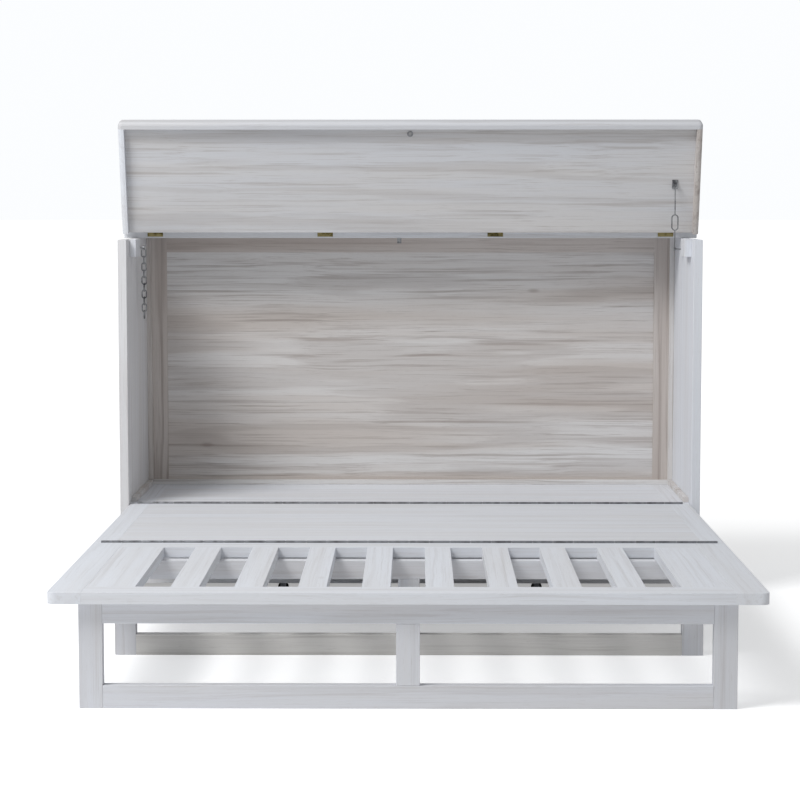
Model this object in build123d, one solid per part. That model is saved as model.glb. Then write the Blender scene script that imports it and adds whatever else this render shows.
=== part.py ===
from build123d import *
import os

# Fold-out cabinet bed, opened. Millimetres, +Z up, front towards -Y.
# The origin is on the floor, under the middle of the whole opened object.

# ---- driving dimensions -------------------------------------------------
platform_width = 1536.0
platform_height = 255.0
panel_thickness = 25.0
opening_height = 725.0
closing_gap = 7.0
slatted_shortening = 7.0
cabinet_depth = 480.0
side_thickness = 24.0
side_clearance = 2.0
side_bottom = 7.5
back_thickness = 14.0
back_stile = 58.0
back_rail = 44.0
back_field_thickness = 6.0
back_groove = 8.0
field_recess = 4.0
fixed_top_thickness = 16.0
cleat = 14.0
end_board = 54.0
floor_end_board = 63.0
slatted_end_board = 73.0
slatted_rail_front = 78.0
slatted_rail_rear = 73.0
slot_width = 76.0
slat_width = 61.5
end_slat_least = 80.0
corner_radius = 18.0
edge_round = 1.5
panel_round = 0.6
cleat_round = 1.0
round_share = 0.4
cutter_margin = 1.0

lid_length = 324.0
lid_height = 36.0
lid_front_rim = 20.0
lid_side_rim = 16.5
lid_overhang = 21.0
lid_seat_gap = 0.4
lid_edge_gap = 1.4
lid_corner_radius = 12.0
lid_moulding = 11.0
lid_open_angle = 75.0

leg_frame_inset = 64.0
leg_member = 51.0
leg_top_rail = 45.0
leg_bottom_rail = 50.0
leg_thickness = 28.0
front_leg_setback = 25.0
rear_leg_setback = 112.0
leg_top_gap = 1.0

apron_thickness = 22.0
apron_gap = 3.0
base_clearance = 38.0
base_rail_thickness = 22.0
base_rail_width = 90.0
base_rail_inset = 35.0
divider_thickness = 20.0
bearer_size = 32.0

stop_block_width = 19.0
stop_block_height = 48.0
stop_block_length = 84.0
stop_gap = 4.0

piano_knuckle_radius = 2.75
piano_pin_radius = 1.25
piano_pitch = 50.0
piano_knuckle_gap = 1.6
piano_leaf_thickness = 1.2
piano_leaf_depth = 14.0
piano_notch = 1.2
piano_pin_rise = 2.5
board_gap = 1.5
running_clearance = 0.05

butt_width = 44.0
butt_knuckle_radius = 3.2
butt_pin_radius = 1.5
butt_leaf_thickness = 1.2
butt_leaf_length = 13.0
butt_knuckle_gap = 0.4
butt_standoff = 0.2
butt_notch = 0.3
lid_hinge_count = 4
lid_hinge_inset = 44.0
leg_hinge_count = 4
leg_leaf_length = 26.0
lid_leaf_length = 12.0

wheel_radius = 15.0
wheel_width = 12.0
wheel_round = 2.0
wheel_axle_radius = 2.0
wheel_spread = 352.0
caster_plate = 40.0
caster_plate_thickness = 2.0
fork_cheek = 2.0
fork_gap = 1.5
fork_width = 16.0
fork_drop = 5.0
axle_end = 1.0

stay_offset = 25.0
stay_reach = 142.0
stay_bracket_drop = 30.0
stay_wire_radius = 1.5
stay_loop_length = 46.0
stay_loop_width = 20.0
stay_loop_drop = 82.0
stay_band = 3.0
stay_eye_radius = 5.0
stay_eye_width = 5.0
stay_eye_drop = 8.0
stay_eye_wall = 1.0
stay_pin_radius = 2.0
stub_gap = 0.8
eye_plate_length = 26.0
eye_plate_width = 16.0
eye_plate_thickness = 2.0
eye_cheek_width = 10.0
eye_cheek_gap = 0.2
bracket_plate = 3.0
bracket_width = 20.0
bracket_height = 40.0
chain_links = 10
link_length = 26.0
link_width = 15.0
link_wire_radius = 1.6
link_slack = 0.4
link_seat = 2.6
chain_offset = 20.0
chain_from_front = 228.0
chain_drop = 26.0
strike_radius = 8.5
strike_hole = 4.0
strike_thickness = 2.0
strike_inset = 37.0
keeper_width = 12.0
keeper_height = 15.0
keeper_thickness = 2.0
keeper_lip = 8.0
keeper_offset = -31.0

# ---- places worked out from the dimensions --------------------------------
inner_half = platform_width / 2 + side_clearance
outer_half = inner_half + side_thickness
top_z = platform_height + opening_height
underside_z = platform_height - panel_thickness
pin_z = platform_height + piano_pin_rise
pin_inset = panel_thickness + piano_pin_rise

# The panels are measured from pin to pin, and the solid one closes the opening.
solid_length = opening_height - closing_gap
slatted_length = solid_length - slatted_shortening

# The opened object runs from the slatted panel's front edge to the cabinet's back.
total_length = cabinet_depth - pin_inset + solid_length + slatted_length
front_y = total_length / 2 - cabinet_depth
back_y = front_y + cabinet_depth
floor_pin_y = front_y + pin_inset
fold_pin_y = floor_pin_y - solid_length
slatted_front_y = fold_pin_y - slatted_length
back_inner_y = back_y - back_thickness

lid_pin_y = front_y - lid_overhang + lid_length
lid_top_z = top_z + fixed_top_thickness
lid_pin_z = lid_top_z + butt_knuckle_radius + butt_standoff
lid_low_z = lid_top_z - lid_height
lid_panel_z = top_z + lid_seat_gap
lid_half = outer_half + lid_overhang

leg_half = platform_width / 2 - leg_frame_inset
leg_top_z = underside_z - leg_top_gap
leg_pin_z = underside_z - butt_knuckle_radius - butt_standoff
front_leg_y = slatted_front_y + front_leg_setback
rear_leg_y = fold_pin_y - rear_leg_setback

slat_pitch = slot_width + slat_width
slatted_half = platform_width / 2 - slatted_end_board
slot_count = int((2 * (slatted_half - end_slat_least) + slat_width) // slat_pitch)
first_slot_x = -(slot_count * slat_pitch - slat_width) / 2

# The cleats and stop blocks start just behind the folded slatted panel.
stop_y = floor_pin_y + piano_pin_rise + panel_thickness + stop_gap

os.makedirs("parts", exist_ok=True)


def save(name, *solids):
    """Writes one node: a single solid, or a group of separate ones."""
    shape = solids[0] if len(solids) == 1 else Compound(children=list(solids))
    shape.label = name
    export_step(shape, f"parts/{name}.step")


def board(x0, x1, y0, y1, z0, z1, rounding=edge_round):
    """A board between two corners, with its edges eased."""
    body = Pos((x0 + x1) / 2, (y0 + y1) / 2, (z0 + z1) / 2) * Box(x1 - x0, y1 - y0, z1 - z0)
    if rounding:
        body = fillet(body.edges(), min(rounding, round_share * min(x1 - x0, y1 - y0, z1 - z0)))
    return body


def panel_board(x0, x1, y0, y1):
    """A board of the bed's platform, with its top at the platform's height."""
    return board(x0, x1, y0, y1, underside_z, platform_height, panel_round)


def rod(x0, x1, y, z, radius):
    """A round bar along X."""
    return Pos((x0 + x1) / 2, y, z) * Rot(0, 90, 0) * Cylinder(radius, x1 - x0)


def open_lid(shape):
    """Turns a piece of the lid from its closed place to its opened one."""
    pivot = Pos(0, lid_pin_y, lid_pin_z)
    return pivot * Rot(-lid_open_angle, 0, 0) * pivot.inverse() * shape


# ---- hinges ----------------------------------------------------------------
def piano_zones():
    """The stretches along X of each knuckle of a piano hinge."""
    count = int(platform_width // piano_pitch)
    start = -count * piano_pitch / 2
    return [(start + i * piano_pitch, start + (i + 1) * piano_pitch) for i in range(count)]


def piano_leaf(pin_y, side, turn, bore):
    """One leaf of a piano hinge: a strip on the board's edge with every second knuckle.
    side is +1 for the leaf behind the pin and -1 for the one in front of it."""
    zones = piano_zones()
    x0, x1 = zones[0][0], zones[-1][1]
    near = pin_y + side * (board_gap - piano_leaf_thickness)
    far = pin_y + side * board_gap
    strip = board(x0, x1, min(near, far), max(near, far), platform_height - piano_leaf_depth, pin_z, 0)
    barrel = rod(x0, x1, pin_y, pin_z, piano_knuckle_radius)
    leaf = strip + barrel - rod(x0 - cutter_margin, x1 + cutter_margin, pin_y, pin_z, bore)
    reach = piano_knuckle_radius + cutter_margin
    low = platform_height - piano_notch
    gap = piano_knuckle_gap / 2
    for a, b in zones[1 - turn::2]:
        leaf -= board(a - gap, b + gap, pin_y - reach, pin_y + reach, low, pin_z + reach, 0)
    return leaf


def piano_hinge(pin_y, behind, in_front, pin):
    """Both leaves and the pin. The pin is tight in the leaf behind it."""
    zones = piano_zones()
    save(behind, piano_leaf(pin_y, 1, 0, piano_pin_radius))
    save(in_front, piano_leaf(pin_y, -1, 1, piano_pin_radius + running_clearance))
    save(pin, rod(zones[0][0], zones[-1][1], pin_y, pin_z, piano_pin_radius))


def butt_spans(x):
    """The outer, middle and outer knuckles of a butt hinge centred at x."""
    quarter = butt_width / 4
    gap = butt_knuckle_gap / 2
    outer = [(x - 2 * quarter, x - quarter - gap), (x + quarter + gap, x + 2 * quarter)]
    return outer, (x - quarter + gap, x + quarter - gap)


def butt_leaf(spans, x, y, z, plate, bore):
    """Knuckles on the axis (y, z) joined to a flat plate, given by its two corners in Y and Z."""
    (y0, z0), (y1, z1) = plate
    middle = len(spans) == 1
    leaf = board(x - butt_width / 2, x + butt_width / 2, y0, y1, z0, z1, 0)
    for a, b in spans:
        leaf += rod(a, b, y, z, butt_knuckle_radius)
    outer, inner = butt_spans(x)
    reach = butt_knuckle_radius + butt_notch
    for a, b in outer if middle else [inner]:
        gap = butt_knuckle_gap
        leaf -= board(a - gap, b + gap, y - reach, y + reach, z - reach, z + reach, 0)
    return leaf - rod(x - butt_width, x + butt_width, y, z, bore)


def spread(half, count):
    """Evenly spaced places along X, from -half to half."""
    return [half * (2 * i / (count - 1) - 1) for i in range(count)]


lid_hinge_places = spread(inner_half - lid_hinge_inset, lid_hinge_count)
slat_spans = [(-slatted_half, first_slot_x), (-first_slot_x, slatted_half)]
for i in range(1, slot_count):
    slat_edge = first_slot_x + i * slat_pitch
    slat_spans.append((slat_edge - slat_width, slat_edge))
slat_spans.sort()


def slats_for(count):
    """The middles of count slats, evenly chosen from end to end, which take the leg hinges."""
    last = len(slat_spans) - 1
    chosen = [slat_spans[round(i * last / (count - 1))] for i in range(count)]
    return [(low + high) / 2 for low, high in chosen]


leg_hinge_places = slats_for(leg_hinge_count)


# ---- cabinet -----------------------------------------------------------------
def cabinet_case():
    for name, sign in (("side_left", -1), ("side_right", 1)):
        xs = sorted((sign * inner_half, sign * outer_half))
        save(name, board(xs[0], xs[1], front_y, back_y, side_bottom, top_z))
    field_y0 = back_inner_y + field_recess
    field_half = inner_half - back_stile + back_groove
    field = board(-field_half, field_half, field_y0, field_y0 + back_field_thickness,
                  platform_height + cleat, top_z - back_rail + back_groove, 0)
    save("back_field", field)
    pieces = []
    for sign in (-1, 1):
        xs = sorted((sign * inner_half, sign * (inner_half - back_stile)))
        pieces.append(board(xs[0], xs[1], back_inner_y, back_y, base_clearance, top_z, 0) - field)
    rail_half = inner_half - back_stile
    pieces.append(board(-rail_half, rail_half, back_inner_y, back_y, top_z - back_rail, top_z, 0) - field)
    low_top = platform_height + cleat + back_groove
    pieces.append(board(-rail_half, rail_half, back_inner_y, back_y, base_clearance, low_top, 0) - field)
    save("back_frame", *pieces)
    save("fixed_top", board(-lid_half, lid_half, lid_pin_y + lid_edge_gap, back_y, top_z, lid_top_z))


def cabinet_floor():
    floor_front = floor_pin_y + board_gap
    middle = inner_half - floor_end_board
    save("floor_panel", panel_board(-middle, middle, floor_front, back_inner_y))
    ends = []
    for sign in (-1, 1):
        xs = sorted((sign * middle, sign * inner_half))
        ends.append(panel_board(xs[0], xs[1], floor_front, back_inner_y))
    save("floor_ends", *ends)
    apron_top = underside_z - apron_gap
    save("front_apron", board(-inner_half, inner_half, front_y, front_y + apron_thickness,
                              base_clearance, apron_top))
    rail_top = base_clearance + base_rail_thickness
    front_rail = front_y + base_rail_inset
    rear_rail = back_inner_y - base_rail_width
    save("base_rails", *[board(-inner_half, inner_half, y, y + base_rail_width, base_clearance, rail_top)
                         for y in (front_rail, rear_rail)])
    bearers = [board(-divider_thickness / 2, divider_thickness / 2, front_y + apron_thickness,
                     back_inner_y, rail_top, underside_z)]
    for sign in (-1, 1):
        xs = sorted((sign * inner_half, sign * (inner_half - bearer_size)))
        bearers.append(board(xs[0], xs[1], front_y + apron_thickness, back_inner_y,
                             underside_z - bearer_size, underside_z))
    save("floor_bearers", *bearers)


def cabinet_trim():
    corner, along = [], []
    for sign in (-1, 1):
        xs = sorted((sign * inner_half, sign * (inner_half - cleat)))
        corner.append(board(xs[0], xs[1], back_inner_y - cleat, back_inner_y,
                            platform_height + cleat, top_z, cleat_round))
        along.append(board(xs[0], xs[1], stop_y, back_inner_y - cleat,
                           platform_height, platform_height + cleat, cleat_round))
    along.append(board(-inner_half, inner_half, back_inner_y - cleat, back_inner_y,
                       platform_height, platform_height + cleat, cleat_round))
    save("corner_cleats", *corner)
    save("floor_cleats", *along)
    blocks = []
    low = top_z - stop_block_height
    for sign in (-1, 1):
        xs = sorted((sign * inner_half, sign * (inner_half - stop_block_width)))
        blocks.append(board(xs[0], xs[1], stop_y, stop_y + stop_block_length, low, top_z))
    save("stop_blocks", *blocks)


def across(x, y, radius, length):
    """A round bar along Y at the height of the wheels' axles."""
    return Pos(x, y, wheel_radius) * Rot(90, 0, 0) * Cylinder(radius, length)


def caster_bracket(x, y, axle):
    """A plate under the base rail with a cheek on each side of the wheel."""
    half, fork_half = caster_plate / 2, fork_width / 2
    plate_z = base_clearance - caster_plate_thickness
    bracket = board(x - half, x + half, y - half, y + half, plate_z, base_clearance, 0)
    cheek_y = wheel_width / 2 + fork_gap
    for near in (y + cheek_y, y - cheek_y - fork_cheek):
        bracket += board(x - fork_half, x + fork_half, near, near + fork_cheek,
                         wheel_radius - fork_drop, plate_z, 0)
    return bracket - axle


def casters():
    front = front_y + base_rail_inset + base_rail_width / 2
    rear = back_inner_y - base_rail_width / 2
    places = [("front_left", -wheel_spread, front), ("front_right", wheel_spread, front),
              ("rear_left", -wheel_spread, rear), ("rear_right", wheel_spread, rear)]
    axle_length = wheel_width + 2 * (fork_gap + fork_cheek + axle_end)
    brackets, axles = [], []
    for name, x, y in places:
        wheel = fillet(across(x, y, wheel_radius, wheel_width).edges(), wheel_round)
        wheel -= across(x, y, wheel_axle_radius + running_clearance, wheel_width)
        save(f"caster_wheel_{name}", wheel)
        axles.append(across(x, y, wheel_axle_radius, axle_length))
        brackets.append(caster_bracket(x, y, axles[-1]))
    save("caster_brackets", *brackets)
    save("caster_axles", *axles)


# ---- lid ------------------------------------------------------------------------
def front_rim(front, back):
    """The lid's front rim, with rounded corners and a moulded lower edge."""
    rim = board(-lid_half, lid_half, front, back, lid_low_z, lid_top_z, 0)
    corners = rim.edges().filter_by(Axis.Z).group_by(Axis.Y)[0]
    rim = fillet(corners, lid_corner_radius)
    low_edges = rim.faces().sort_by(Axis.Z)[0].edges().sort_by(Axis.Y)
    return fillet(low_edges[:-1], lid_moulding)


def lid():
    """The panel rests on the sides, and its rims hang in front of them and outside them."""
    front, rear = lid_pin_y - lid_length, lid_pin_y - lid_edge_gap
    inner_front = front + lid_front_rim
    inner_x = lid_half - lid_side_rim
    save("lid_rim_front", open_lid(front_rim(front, inner_front)))
    for name, sign in (("left", -1), ("right", 1)):
        xs = sorted((sign * lid_half, sign * inner_x))
        rim = board(xs[0], xs[1], inner_front, rear, lid_low_z, lid_top_z, 0)
        low_edge = rim.edges().filter_by(Axis.Y).sort_by_distance((sign * lid_half, front, lid_low_z))[0]
        save(f"lid_rim_{name}", open_lid(fillet(low_edge, lid_moulding)))
    save("lid_panel", open_lid(board(-inner_x, inner_x, inner_front, rear, lid_panel_z, lid_top_z, 0)))


def lid_hinges():
    fixed, moving, pins = [], [], []
    leaf_low = lid_top_z - lid_leaf_length
    near = lid_edge_gap - butt_leaf_thickness
    top_plate = (lid_pin_y + near, leaf_low), (lid_pin_y + lid_edge_gap, lid_pin_z)
    lid_plate = (lid_pin_y - lid_edge_gap, leaf_low), (lid_pin_y - near, lid_pin_z)
    for x in lid_hinge_places:
        outer, inner = butt_spans(x)
        fixed.append(butt_leaf(outer, x, lid_pin_y, lid_pin_z, top_plate, butt_pin_radius))
        leaf = butt_leaf([inner], x, lid_pin_y, lid_pin_z, lid_plate, butt_pin_radius + running_clearance)
        moving.append(open_lid(leaf))
        pins.append(rod(x - butt_width / 2, x + butt_width / 2, lid_pin_y, lid_pin_z, butt_pin_radius))
    save("lid_hinge_fixed_leaves", *fixed)
    save("lid_hinge_moving_leaves", *moving)
    save("lid_hinge_pins", *pins)


# ---- stay and chain ---------------------------------------------------------------
def stay_eye(x, y, z):
    """The barrel at the end of the stay or chain, bored along X for its pin."""
    half = stay_eye_width / 2
    barrel = rod(x - half, x + half, y, z, stay_eye_radius)
    return barrel - rod(x - half, x + half, y, z, stay_pin_radius + running_clearance)


def upright(x, y, z0, z1):
    """A straight length of the stay's wire."""
    return Pos(x, y, (z0 + z1) / 2) * Cylinder(stay_wire_radius, z1 - z0)


def lid_plates(x, eye_y, eye_z):
    """The eye plate that carries the stay, and the round strike plate, on the lid's inner face."""
    inner_face = lid_panel_z
    half = eye_plate_width / 2
    eye = board(x - half, x + half, eye_y - eye_plate_length / 2, eye_y + eye_plate_length / 2,
                inner_face - eye_plate_thickness, inner_face, 0)
    cheek = x + stay_eye_width / 2 + eye_cheek_gap
    eye += board(cheek, cheek + eye_plate_thickness, eye_y - eye_cheek_width / 2, eye_y + eye_cheek_width / 2,
                 eye_z - eye_cheek_width / 2, inner_face - eye_plate_thickness / 2, 0)
    eye += rod(x - stay_eye_width / 2, cheek + eye_plate_thickness, eye_y, eye_z, stay_pin_radius)
    place = Pos(0, lid_pin_y - lid_length + strike_inset, inner_face - strike_thickness / 2)
    strike = place * (Cylinder(strike_radius, strike_thickness) - Cylinder(strike_hole, strike_thickness))
    save("lid_plates", open_lid(eye), open_lid(strike))


def lid_stay(x, y, z, length):
    """The wire stay hangs plumb from the lid's eye: eye, wire, long loop, wire, eye."""
    loop_top = z - stay_loop_drop
    loop_bottom = loop_top - stay_loop_length
    outline = SlotOverall(stay_loop_length, stay_loop_width)
    outline -= SlotOverall(stay_loop_length - 2 * stay_band, stay_loop_width - 2 * stay_band)
    loop = extrude(Plane.XZ * Rot(0, 0, 90) * outline, stay_band / 2, both=True)
    bore = stay_eye_radius - stay_eye_wall
    stay = stay_eye(x, y, z) + upright(x, y, loop_top - stay_band / 2, z - bore)
    stay += Pos(x, y, (loop_top + loop_bottom) / 2) * loop
    stay += upright(x, y, z - length + bore, loop_bottom + stay_band / 2)
    stay += stay_eye(x, y, z - length)
    save("lid_stay", stay)


def chain_link(turn):
    """One closed link of round wire, centred on the origin and turned about its length."""
    radius = link_width / 2 - link_wire_radius
    straight = link_length - link_width
    path = Plane.XZ * Rot(0, 0, 90) * SlotOverall(straight + 2 * radius, 2 * radius)
    start = Plane((radius, 0, 0), z_dir=(0, 0, 1)) * Circle(link_wire_radius)
    return Rot(0, 0, turn) * sweep(start, path.face().outer_wire())


def wall_bracket(sign, x, y, z):
    """A plate on the side board with a stub that reaches towards x."""
    xs = sorted((sign * inner_half, sign * (inner_half - bracket_plate)))
    bracket = board(xs[0], xs[1], y - bracket_width / 2, y + bracket_width / 2,
                    z - bracket_height / 2, z + bracket_height / 2, 0)
    ends = sorted((sign * (inner_half - bracket_plate / 2), x))
    return bracket + rod(ends[0], ends[1], y, z, stay_pin_radius)


def wall_chain(x, y, z):
    """An eye with the first link on it, and the other links hanging in turn."""
    pitch = link_length - 4 * link_wire_radius - link_slack
    first = z - stay_eye_radius - link_length / 2 + link_seat
    links = [Pos(x, y, first - i * pitch) * chain_link(90 * (i % 2)) for i in range(chain_links)]
    links[0] += stay_eye(x, y, z)
    save("wall_chain", *links)


def stay_and_chain():
    stay_x = inner_half - stay_offset
    eye_y = lid_pin_y - stay_reach
    eye_z = lid_panel_z - stay_eye_drop
    lid_plates(stay_x, eye_y, eye_z)
    opened = open_lid(Pos(stay_x, eye_y, eye_z)).position
    bracket_z = top_z - stay_bracket_drop
    lid_stay(stay_x, opened.Y, opened.Z, opened.Z - bracket_z)
    chain_x = chain_offset - inner_half
    chain_y = front_y + chain_from_front
    chain_z = top_z - chain_drop
    wall_chain(chain_x, chain_y, chain_z)
    save("stay_brackets", wall_bracket(-1, chain_x + stay_eye_width / 2, chain_y, chain_z),
         wall_bracket(1, stay_x + stay_eye_width / 2 + stub_gap, opened.Y, bracket_z))
    return opened


def keeper():
    """A small angle under the fixed top's front edge."""
    front = lid_pin_y + lid_edge_gap
    x0, x1 = keeper_offset - keeper_width / 2, keeper_offset + keeper_width / 2
    hook = board(x0, x1, front, front + keeper_thickness, top_z - keeper_height, top_z, 0)
    hook += board(x0, x1, front, front + keeper_lip, top_z - keeper_thickness, top_z, 0)
    save("keeper_hook", hook)


# ---- bed panels -------------------------------------------------------------------
def solid_panel():
    half = platform_width / 2
    middle = half - end_board
    rear, front = floor_pin_y - board_gap, fold_pin_y + board_gap
    save("solid_panel", panel_board(-middle, middle, front, rear))
    save("solid_panel_end_left", panel_board(-half, -middle, front, rear))
    save("solid_panel_end_right", panel_board(middle, half, front, rear))


def slatted_panel():
    half = platform_width / 2
    middle = slatted_half
    rear, front = fold_pin_y - board_gap, slatted_front_y
    for name, sign in (("left", -1), ("right", 1)):
        xs = sorted((sign * middle, sign * half))
        end = board(xs[0], xs[1], front, rear, underside_z, platform_height, 0)
        corner = end.edges().filter_by(Axis.Z).sort_by_distance((sign * half, front, underside_z))[0]
        end = fillet(corner, corner_radius)
        save(f"slatted_end_{name}", fillet(end.faces().sort_by(Axis.Z)[-1].edges(), panel_round))
    slot_front = front + slatted_rail_front
    slot_rear = rear - slatted_rail_rear
    save("slatted_rail_front", panel_board(-middle, middle, front, slot_front))
    save("slatted_rail_rear", panel_board(-middle, middle, slot_rear, rear))
    save("slatted_slats", *[panel_board(a, b, slot_front, slot_rear) for a, b in slat_spans])


def leg_frame(name, y0):
    """A frame of two end posts, a middle post and two rails. y0 is its front face."""
    y1 = y0 + leg_thickness
    inner = leg_half - leg_member
    rail_low = leg_top_z - leg_top_rail
    save(f"{name}_post_left", board(-leg_half, -inner, y0, y1, 0, leg_top_z))
    save(f"{name}_post_right", board(inner, leg_half, y0, y1, 0, leg_top_z))
    save(f"{name}_post_middle", board(-leg_member / 2, leg_member / 2, y0, y1, leg_bottom_rail, rail_low))
    save(f"{name}_rail_top", board(-inner, inner, y0, y1, rail_low, leg_top_z))
    save(f"{name}_rail_bottom", board(-inner, inner, y0, y1, 0, leg_bottom_rail))


def leg_hinges():
    """Butt hinges on the faces towards which the two frames fold."""
    fixed, pins = [], []
    front_pin = front_leg_y + leg_thickness + butt_knuckle_radius
    rear_pin = rear_leg_y - butt_knuckle_radius
    for name, pin_y, side in (("front_legs", front_pin, 1), ("rear_legs", rear_pin, -1)):
        ys = sorted((pin_y, pin_y + side * butt_leaf_length))
        panel_plate = (ys[0], underside_z - butt_leaf_thickness), (ys[1], underside_z)
        face_y = pin_y - side * butt_knuckle_radius
        ys = sorted((face_y, face_y + side * butt_leaf_thickness))
        frame_plate = (ys[0], leg_pin_z - leg_leaf_length), (ys[1], leg_pin_z)
        moving = []
        for x in leg_hinge_places:
            outer, inner = butt_spans(x)
            fixed.append(butt_leaf(outer, x, pin_y, leg_pin_z, panel_plate, butt_pin_radius))
            moving.append(butt_leaf([inner], x, pin_y, leg_pin_z, frame_plate,
                                    butt_pin_radius + running_clearance))
            pins.append(rod(x - butt_width / 2, x + butt_width / 2, pin_y, leg_pin_z, butt_pin_radius))
        save(f"{name}_hinge_leaves", *moving)
    save("leg_hinge_fixed_leaves", *fixed)
    save("leg_hinge_pins", *pins)
    return front_pin, rear_pin


cabinet_case()
cabinet_floor()
cabinet_trim()
casters()
lid()
lid_hinges()
piano_hinge(floor_pin_y, "floor_hinge_leaf_floor", "floor_hinge_leaf_panel", "floor_hinge_pin")
piano_hinge(fold_pin_y, "fold_hinge_leaf_solid", "fold_hinge_leaf_slatted", "fold_hinge_pin")
solid_panel()
slatted_panel()
keeper()
leg_frame("front_legs", front_leg_y)
leg_frame("rear_legs", rear_leg_y)
opened_eye = stay_and_chain()
front_leg_pin_y, rear_leg_pin_y = leg_hinges()
for joint, y, z in (("lid hinge", lid_pin_y, lid_pin_z), ("floor hinge", floor_pin_y, pin_z),
                    ("fold hinge", fold_pin_y, pin_z), ("front leg hinge", front_leg_pin_y, leg_pin_z),
                    ("rear leg hinge", rear_leg_pin_y, leg_pin_z), ("stay eye", opened_eye.Y, opened_eye.Z)):
    print(f"{joint}: y {y:.3f}, z {z:.3f}")
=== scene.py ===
import math

import bmesh
import bpy
from mathutils import Matrix, Vector


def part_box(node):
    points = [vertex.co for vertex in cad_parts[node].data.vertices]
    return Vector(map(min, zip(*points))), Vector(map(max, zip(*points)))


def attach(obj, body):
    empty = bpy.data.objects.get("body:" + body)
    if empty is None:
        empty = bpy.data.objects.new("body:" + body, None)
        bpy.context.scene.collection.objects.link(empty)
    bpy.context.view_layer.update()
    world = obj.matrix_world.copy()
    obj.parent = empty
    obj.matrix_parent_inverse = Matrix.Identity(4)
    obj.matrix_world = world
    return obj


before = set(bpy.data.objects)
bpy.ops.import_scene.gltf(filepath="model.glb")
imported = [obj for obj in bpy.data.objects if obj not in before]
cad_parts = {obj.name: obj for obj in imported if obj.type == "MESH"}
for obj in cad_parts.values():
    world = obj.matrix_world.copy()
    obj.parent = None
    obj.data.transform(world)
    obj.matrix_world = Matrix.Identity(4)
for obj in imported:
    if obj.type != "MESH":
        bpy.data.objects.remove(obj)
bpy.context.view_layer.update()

# The whitewash is a thin bluish white over warm grey-brown timber, and each kind of board has its own share
# of it.
# Some washes are also painted shade or painted light: darker and browner for boards in shade, lighter for one
# rail.
# Colours are linear.
WASH = (0.755, 0.78, 0.83)
WARM = (0.645, 0.625, 0.61)
GRAIN = (0.39, 0.355, 0.335)
# Painted shade: the inner wash and warm are darker and browner for the boards inside and under the cabinet.
INNER_SHADE_WASH = (0.71, 0.70, 0.695)
INNER_SHADE_WARM = (0.55, 0.495, 0.455)
# Painted light: a lighter, warmer wash that lifts the rear legs' bottom rail out of its shade.
SHADE_LIFT_WASH = (0.77, 0.755, 0.725)
LID_WASH = (0.64, 0.65, 0.68)
LEG_WASH = (0.70, 0.715, 0.76)
# Painted shade: the left side's wash is darker and greyer than the right side's.
LEFT_SIDE_SHADE_WASH = (0.73, 0.73, 0.745)
# Painted shade: the back frame's wash and warm are darker and browner, for its rails and stiles in shade.
FRAME_SHADE_WASH = (0.60, 0.555, 0.525)
FRAME_SHADE_WARM = (0.47, 0.41, 0.375)
# Painted shade: a darker grain colour for the inner boards and the back frame.
INNER_SHADE_GRAIN = (0.27, 0.22, 0.195)

LID_LEAN = math.radians(15)
STILE_START = 0.712

# The lid's hinges and their screws, in metres.
LID_HINGES = 4
HINGE_HALF_LENGTH = 0.022
SCREW_RADIUS = 0.0026
SCREW_HEIGHT = 0.0007
SCREW_TAPER = 0.8
DRIVE_INSET = 0.3
DRIVE_DEPTH = 0.7
LEAF_SCREW_SPACING = 0.014
LEAF_SCREW_RISE = 0.0055
LEAF_FACE_DEPTH = 0.0034

# The floor, its glow in view near the piece and far from it, and the light.
FLOOR_RADIUS = 150.0
GLOW_NEAR, GLOW_FAR = 0.38, 0.75
GLOW_STARTS, GLOW_ENDS = 0.6, 6.0
WORLD_FILL = 0.40
KEY_PLACE = (-3.1, -2.5, 5.0)
KEY_TARGET = (0.1, 0.2, 0.5)
KEY_SIZE = 2.4
KEY_POWER = 252.0

# The camera, in millimetres for its lens and sensor, metres and degrees.
LENS, SENSOR = 101.2, 36.0
CAMERA_PLACE = (0.0171, -5.652, 1.0753)
CAMERA_PITCH, CAMERA_YAW = 4.97, 0.412


# ---- node helpers -------------------------------------------------------------
def new_material(name):
    """An empty material with its shader and output, and the Object coordinates that patterns read."""
    material = bpy.data.materials.new(name)
    material.use_nodes = True
    tree = material.node_tree
    tree.nodes.clear()
    shader = add(tree, "ShaderNodeBsdfPrincipled")
    output = add(tree, "ShaderNodeOutputMaterial")
    tree.links.new(shader.outputs["BSDF"], output.inputs["Surface"])
    place = add(tree, "ShaderNodeTexCoord").outputs["Object"]
    return material, tree, shader, place


def add(tree, kind, **settings):
    """A node with some of its settings or unlinked inputs filled in, and its linked inputs joined."""
    node = tree.nodes.new(kind)
    for key, value in settings.items():
        if hasattr(node, key):
            setattr(node, key, value)
            continue
        socket = node.inputs[int(key[1:])] if key[0] == "i" and key[1:].isdigit() else node.inputs[key]
        if isinstance(value, bpy.types.NodeSocket):
            tree.links.new(value, socket)
        else:
            socket.default_value = value
    return node


def mapped(tree, place, scale, shift=(0, 0, 0), turn=0.0):
    """The coordinates shifted, turned about X and stretched."""
    return add(tree, "ShaderNodeMapping", Vector=place, Location=shift, Rotation=(turn, 0, 0),
               Scale=scale).outputs["Vector"]


def noise(tree, place, scale, detail, roughness=0.5, distortion=0.0):
    """Soft random patches."""
    return add(tree, "ShaderNodeTexNoise", Vector=place, Scale=scale, Detail=detail, Roughness=roughness,
               Distortion=distortion).outputs["Fac"]


def spread(tree, value, low, high, to_low=0.0, to_high=1.0):
    """The value taken smoothly from one range to another, and held at its ends."""
    node = add(tree, "ShaderNodeMapRange", Value=value, interpolation_type="SMOOTHSTEP")
    for key, number in (("From Min", low), ("From Max", high), ("To Min", to_low), ("To Max", to_high)):
        node.inputs[key].default_value = number
    return node.outputs["Result"]


def math_node(tree, operation, a, b=0.0):
    return add(tree, "ShaderNodeMath", operation=operation, i0=a, i1=b).outputs["Value"]


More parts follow.
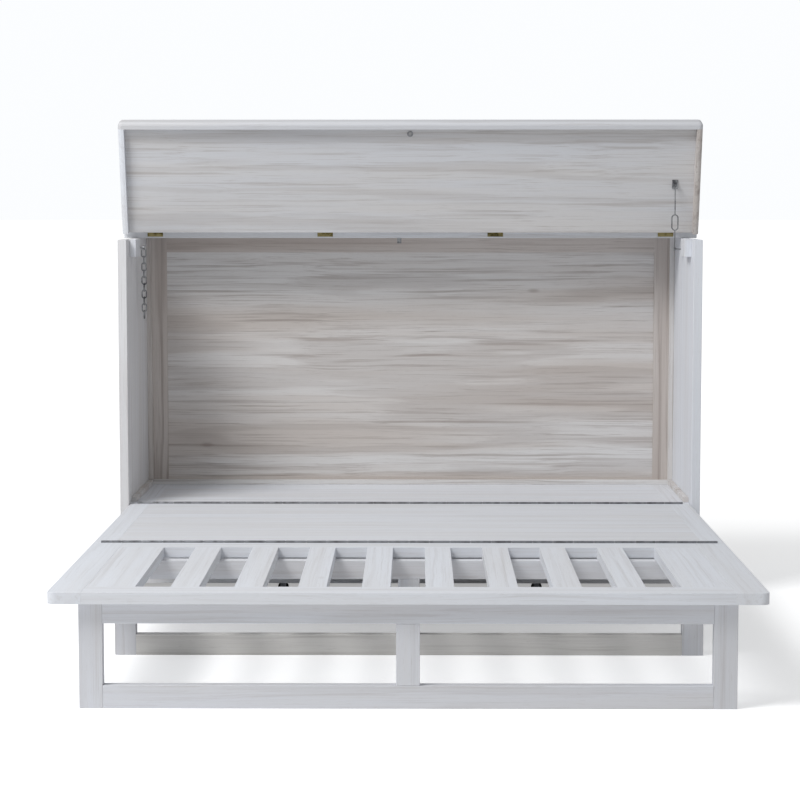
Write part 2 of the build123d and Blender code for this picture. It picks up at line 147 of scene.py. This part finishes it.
def mix(tree, amount, a, b, blend="MIX"):
    """One colour mixed into another. Colours may be linked or given."""
    node = add(tree, "ShaderNodeMix", data_type="RGBA", blend_type=blend)
    for socket, value in ((node.inputs[0], amount), (node.inputs[6], a), (node.inputs[7], b)):
        if isinstance(value, bpy.types.NodeSocket):
            tree.links.new(value, socket)
        elif isinstance(value, tuple):
            socket.default_value = (*value, 1.0)
        else:
            socket.default_value = value
    return node.outputs[2]


def bumped(tree, shader, height, strength, distance):
    normal = add(tree, "ShaderNodeBump", Strength=strength, Distance=distance, Height=height)
    tree.links.new(normal.outputs["Normal"], shader.inputs["Normal"])


# ---- timber -------------------------------------------------------------------
def grain_place(tree, place, along, shift, turn, stiles):
    """Coordinates in which the grain runs along X. With stiles, it runs upright in the outer boards."""
    turns = {"X": (0, 0, 0), "Y": (0, 0, -math.pi / 2), "Z": (0, math.pi / 2, 0)}
    moved = mapped(tree, place, (1, 1, 1), shift, turn)
    turned = add(tree, "ShaderNodeMapping", Vector=moved, Rotation=turns[along]).outputs["Vector"]
    if not stiles:
        return turned
    upright = add(tree, "ShaderNodeMapping", Vector=moved, Rotation=turns["Z"]).outputs["Vector"]
    axes = add(tree, "ShaderNodeSeparateXYZ", Vector=place)
    outside = math_node(tree, "GREATER_THAN", math_node(tree, "ABSOLUTE", axes.outputs["X"]), stiles)
    chosen = add(tree, "ShaderNodeMix", data_type="VECTOR")
    tree.links.new(outside, chosen.inputs[0])
    tree.links.new(turned, chosen.inputs[4])
    tree.links.new(upright, chosen.inputs[5])
    return chosen.outputs[1]


def timber(name, along, shift=(0, 0, 0), wash=WASH, warm=WARM, grain=GRAIN, turn=0.0, stiles=0.0,
           bare_and_shading=0.5, staves=0.0):
    """Whitewashed timber. The bare amount is how much of the warm wood shows; on some boards it and the wash,
    warm and grain colours also carry painted shade or painted light. staves is the width of glued strips.
    """
    material, tree, shader, place = new_material(name)
    run = grain_place(tree, place, along, shift, turn, stiles)
    wavy = noise(tree, mapped(tree, run, (1.1, 3.2, 3.2)), 1.6, 2.0)
    bend = add(tree, "ShaderNodeCombineXYZ", Y=math_node(tree, "MULTIPLY", wavy, 0.022),
               Z=math_node(tree, "MULTIPLY", wavy, 0.022)).outputs["Vector"]
    run = add(tree, "ShaderNodeVectorMath", operation="ADD", i0=run, i1=bend).outputs["Vector"]
    clouds = noise(tree, mapped(tree, run, (0.5, 9.0, 9.0)), 1.5, 3.0, 0.55)
    streaks = noise(tree, mapped(tree, run, (0.55, 40.0, 40.0)), 2.4, 6.0, 0.6, 0.15)
    lines = noise(tree, mapped(tree, run, (1.1, 120.0, 120.0)), 3.0, 5.0, 0.62, 0.2)
    pores = noise(tree, mapped(tree, run, (9.0, 220.0, 220.0)), 4.0, 2.0, 0.5)
    cathedral = add(tree, "ShaderNodeTexWave", Vector=mapped(tree, run, (0.5, 7.0, 7.0)), bands_direction="Y",
                    Scale=1.1, Distortion=9.0, Detail=3.0)
    cathedral.inputs["Detail Scale"].default_value = 0.9
    figure = spread(tree, cathedral.outputs["Fac"], 0.78, 0.98)
    colour = mix(tree, spread(tree, clouds, 0.36, 0.68, 0.0, 0.8 * bare_and_shading), wash, warm)
    if staves:
        across = add(tree, "ShaderNodeSeparateXYZ", Vector=run).outputs["Y" if along != "X" else "Z"]
        strip = math_node(tree, "FLOOR", math_node(tree, "DIVIDE", across, staves))
        tone = add(tree, "ShaderNodeTexWhiteNoise", noise_dimensions="1D", W=strip).outputs["Value"]
        colour = mix(tree, spread(tree, tone, 0.2, 1.0, 0.0, 0.35 * bare_and_shading), colour, warm)
    colour = mix(tree, spread(tree, streaks, 0.50, 0.70, 0.0, 0.58 * bare_and_shading), colour, grain)
    colour = mix(tree, math_node(tree, "MULTIPLY", figure, 0.22 * bare_and_shading), colour, grain)
    colour = mix(tree, spread(tree, lines, 0.53, 0.72, 0.0, 0.55 * bare_and_shading), colour, grain)
    colour = mix(tree, spread(tree, pores, 0.60, 0.74, 0.0, 0.22), colour, grain)
    knots = add(tree, "ShaderNodeTexVoronoi", Vector=mapped(tree, run, (0.9, 2.4, 2.4)), Scale=1.9,
                Randomness=1.0).outputs["Distance"]
    colour = mix(tree, spread(tree, knots, 0.015, 0.045, 0.5 * bare_and_shading, 0.0), colour, grain)
    tree.links.new(colour, shader.inputs["Base Color"])
    dull = spread(tree, streaks, 0.3, 0.7, 0.50, 0.66)
    tree.links.new(dull, shader.inputs["Roughness"])
    shader.inputs["Specular IOR Level"].default_value = 0.35
    height = math_node(tree, "ADD", lines, math_node(tree, "MULTIPLY", pores, 0.7))
    bumped(tree, shader, height, 0.16, 0.0012)
    return material


# ---- metal and plastic ----------------------------------------------------------
def metal(name, bright, dark, roughness):
    """Metal with fine brushing and duller patches."""
    material, tree, shader, place = new_material(name)
    patches = noise(tree, place, 45.0, 4.0, 0.6)
    scratches = noise(tree, mapped(tree, place, (60, 900, 900)), 1.0, 3.0)
    colour = mix(tree, spread(tree, patches, 0.35, 0.7), bright, dark)
    tree.links.new(colour, shader.inputs["Base Color"])
    tree.links.new(spread(tree, patches, 0.3, 0.7, roughness, roughness + 0.2), shader.inputs["Roughness"])
    shader.inputs["Metallic"].default_value = 1.0
    grit = noise(tree, place, 1600.0, 2.0)
    bumped(tree, shader, math_node(tree, "ADD", scratches, grit), 0.08, 0.0002)
    return material


def black_nylon():
    material, tree, shader, place = new_material("black_nylon")
    scuffs = noise(tree, place, 220.0, 4.0, 0.6)
    dusty = mix(tree, spread(tree, scuffs, 0.5, 0.8, 0.0, 0.7), (0.012, 0.012, 0.013), (0.05, 0.048, 0.045))
    tree.links.new(dusty, shader.inputs["Base Color"])
    tree.links.new(spread(tree, scuffs, 0.3, 0.7, 0.38, 0.6), shader.inputs["Roughness"])
    bumped(tree, shader, noise(tree, place, 1800.0, 2.0), 0.1, 0.0002)
    return material


# ---- finishes, node by node -----------------------------------------------------
def finish_nodes():
    """Every CAD node gets its own board's material, or the metal or plastic it is made of."""
    inner_shade = dict(wash=INNER_SHADE_WASH, warm=INNER_SHADE_WARM, grain=INNER_SHADE_GRAIN)
    boards = {
        "lid_panel": dict(along="X", bare_and_shading=0.95, staves=0.052, turn=LID_LEAN,
                          wash=LID_WASH),
        "lid_rim_front": dict(along="X", bare_and_shading=0.5, wash=LID_WASH),
        # Painted light and shade: the left rim is whiter as if lit, the right rim darker and browner as if in
        # shade.
        "lid_rim_left": dict(along="Z", bare_and_shading=0.3, turn=LID_LEAN),
        "lid_rim_right": dict(along="Z", bare_and_shading=1.0, turn=LID_LEAN, **inner_shade),
        "fixed_top": dict(along="X", bare_and_shading=0.5, staves=0.06),
        # Painted shade: the back field and the cleats take the inner colours, darker and browner as if in
        # shade.
        "back_field": dict(along="X", bare_and_shading=0.95, staves=0.075, **inner_shade),
        # Painted shade: the back frame's darker, browner colours.
        "back_frame": dict(along="X", bare_and_shading=0.9, stiles=STILE_START, wash=FRAME_SHADE_WASH, warm=FRAME_SHADE_WARM,
                           grain=INNER_SHADE_GRAIN),
        "corner_cleats": dict(along="Z", bare_and_shading=0.8, **inner_shade),
        "floor_cleats": dict(along="X", bare_and_shading=0.8, **inner_shade),
        "floor_panel": dict(along="X", bare_and_shading=0.45, staves=0.09),
        "floor_ends": dict(along="Y", bare_and_shading=0.45),
        "solid_panel": dict(along="X", bare_and_shading=0.36, staves=0.11),
        "solid_panel_end_left": dict(along="Y", bare_and_shading=0.34),
        "solid_panel_end_right": dict(along="Y", bare_and_shading=0.34),
        "slatted_end_left": dict(along="Y", bare_and_shading=0.32),
        "slatted_end_right": dict(along="Y", bare_and_shading=0.32),
        "slatted_rail_front": dict(along="X", bare_and_shading=0.34),
        "slatted_rail_rear": dict(along="X", bare_and_shading=0.34),
        "slatted_slats": dict(along="Y", bare_and_shading=0.36),
        # Painted light and shade: the left side is darker and greyer as if in shade, the right side whiter as
        # if lit.
        "side_left": dict(along="Z", bare_and_shading=0.5, wash=LEFT_SIDE_SHADE_WASH),
        "side_right": dict(along="Z", bare_and_shading=0.25),
        "stop_blocks": dict(along="Z", bare_and_shading=0.55),
        "front_apron": dict(along="X", bare_and_shading=0.7),
        # Painted shade: the base rails and floor bearers under the cabinet take the inner, darker and browner
        # colours.
        "base_rails": dict(along="X", bare_and_shading=0.9, **inner_shade),
        "floor_bearers": dict(along="Y", bare_and_shading=0.9, **inner_shade),
    }
    for legs in ("front_legs", "rear_legs"):
        for side in ("left", "middle", "right"):
            boards[f"{legs}_post_{side}"] = dict(along="Z", bare_and_shading=0.45, wash=LEG_WASH)
        for height in ("top", "bottom"):
            boards[f"{legs}_rail_{height}"] = dict(along="X", bare_and_shading=0.5, wash=LEG_WASH)
    # Painted light: the rear legs' bottom rail gets a lighter, warmer wash to lift it out of shade.
    boards["rear_legs_rail_bottom"]["wash"] = SHADE_LIFT_WASH
    brass = metal("aged_brass", (0.40, 0.34, 0.16), (0.11, 0.095, 0.04), 0.36)
    hinge_steel = metal("hinge_steel", (0.34, 0.35, 0.37), (0.16, 0.16, 0.17), 0.36)
    zinc = metal("zinc_wire", (0.40, 0.41, 0.42), (0.11, 0.11, 0.12), 0.3)
    nylon = black_nylon()
    for number, (name, node) in enumerate(sorted(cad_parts.items())):
        if name in boards:
            shift = (0.37 * number, 0.61 * number, 0.23 * number)
            paint(node, timber(name + "_timber", shift=shift, **boards[name]))
        elif name.startswith("lid_hinge"):
            paint(node, brass)
        elif name.startswith("caster_wheel"):
            paint(node, nylon)
        elif name in ("lid_stay", "wall_chain", "stay_brackets", "lid_plates", "keeper_hook"):
            paint(node, zinc)
        else:
            paint(node, hinge_steel)
    return brass


def paint(obj, material):
    obj.data.materials.clear()
    obj.data.materials.append(material)


# ---- screws ---------------------------------------------------------------------
def screw_heads(name, body, material, places, facing):
    """Domed screw heads with a sunk drive, all facing one way, as one piece."""
    shape = bmesh.new()
    turn = Vector((0, 0, 1)).rotation_difference(Vector(facing)).to_matrix().to_4x4()
    for place in places:
        at = Matrix.Translation(Vector(place)) @ turn
        made = bmesh.ops.create_cone(shape, cap_ends=True, segments=20, radius1=SCREW_RADIUS,
                                     radius2=SCREW_RADIUS * SCREW_TAPER, depth=SCREW_HEIGHT, matrix=at)
        out = Vector(facing).normalized()
        faces = {face for vert in made["verts"] for face in vert.link_faces}
        top = max(faces, key=lambda face: face.calc_center_median().dot(out))
        bmesh.ops.inset_region(shape, faces=[top], thickness=SCREW_RADIUS * DRIVE_INSET, depth=0.0)
        bmesh.ops.translate(shape, verts=top.verts, vec=-out * SCREW_HEIGHT * DRIVE_DEPTH)
    mesh = bpy.data.meshes.new(name)
    shape.to_mesh(mesh)
    shape.free()
    piece = bpy.data.objects.new(name, mesh)
    bpy.context.scene.collection.objects.link(piece)
    paint(piece, material)
    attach(piece, body)


def hinge_screws(brass):
    """Three screws in the front of each of the lid's hinges."""
    low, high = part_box("lid_hinge_fixed_leaves")
    first, last = low[0] + HINGE_HALF_LENGTH, high[0] - HINGE_HALF_LENGTH
    height = low[2] + LEAF_SCREW_RISE
    places = []
    for i in range(LID_HINGES):
        x = first + (last - first) * i / (LID_HINGES - 1)
        places += [(x + side * LEAF_SCREW_SPACING, low[1] + LEAF_FACE_DEPTH, height) for side in (-1, 0, 1)]
    screw_heads("lid_hinge_screws", "cabinet", brass, places, (0, -1, 0))


# ---- stage ----------------------------------------------------------------------
def stage():
    """A pale floor wide enough to have no edge in view, which pales further away from the piece."""
    shape = bmesh.new()
    bmesh.ops.create_circle(shape, cap_ends=True, segments=64, radius=FLOOR_RADIUS)
    mesh = bpy.data.meshes.new("floor")
    shape.to_mesh(mesh)
    shape.free()
    floor = bpy.data.objects.new("floor", mesh)
    bpy.context.scene.collection.objects.link(floor)
    material, tree, shader, place = new_material("pale_floor")
    colour = mix(tree, noise(tree, place, 3.0, 3.0), (0.93, 0.93, 0.93), (0.95, 0.95, 0.95))
    tree.links.new(colour, shader.inputs["Base Color"])
    shader.inputs["Roughness"].default_value = 0.9
    shader.inputs["Specular IOR Level"].default_value = 0.1
    away = add(tree, "ShaderNodeVectorMath", operation="LENGTH", i0=place).outputs["Value"]
    seen = add(tree, "ShaderNodeLightPath").outputs["Is Camera Ray"]
    paling = spread(tree, away, GLOW_STARTS, GLOW_ENDS, GLOW_NEAR, GLOW_FAR)
    glow = math_node(tree, "MULTIPLY", seen, paling)
    shader.inputs["Emission Color"].default_value = (1.0, 1.0, 1.0, 1.0)
    tree.links.new(glow, shader.inputs["Emission Strength"])
    paint(floor, material)


def soft_light(name, place, target, size, power):
    """A square soft box that faces its target."""
    light = bpy.data.lights.new(name, "AREA")
    light.shape, light.size, light.energy = "SQUARE", size, power
    lamp = bpy.data.objects.new(name, light)
    lamp.location = place
    lamp.rotation_euler = (Vector(target) - Vector(place)).to_track_quat("-Z", "Y").to_euler()
    bpy.context.scene.collection.objects.link(lamp)


def light_scene():
    """An even pale surround, seen as white, and one large soft light from above the left front."""
    world = bpy.data.worlds.new("studio")
    world.use_nodes = True
    tree = world.node_tree
    tree.nodes.clear()
    seen = add(tree, "ShaderNodeLightPath").outputs["Is Camera Ray"]
    fill = math_node(tree, "ADD", math_node(tree, "MULTIPLY", seen, 1.0 - WORLD_FILL), WORLD_FILL)
    sky = add(tree, "ShaderNodeBackground", Color=(0.97, 0.985, 1.0, 1.0), Strength=fill)
    output = add(tree, "ShaderNodeOutputWorld")
    tree.links.new(sky.outputs["Background"], output.inputs["Surface"])
    bpy.context.scene.world = world
    soft_light("key", KEY_PLACE, KEY_TARGET, KEY_SIZE, KEY_POWER)


def camera():
    """In front of the platform at about eye height for a seated person, looking slightly down."""
    lens = bpy.data.cameras.new("camera")
    lens.lens, lens.sensor_width = LENS, SENSOR
    viewer = bpy.data.objects.new("camera", lens)
    viewer.location = CAMERA_PLACE
    viewer.rotation_euler = (math.radians(90 - CAMERA_PITCH), 0.0, math.radians(CAMERA_YAW))
    bpy.context.scene.collection.objects.link(viewer)
    bpy.context.scene.camera = viewer
    bpy.context.scene.view_settings.view_transform = "Standard"


hinge_screws(finish_nodes())
stage()
light_scene()
camera()
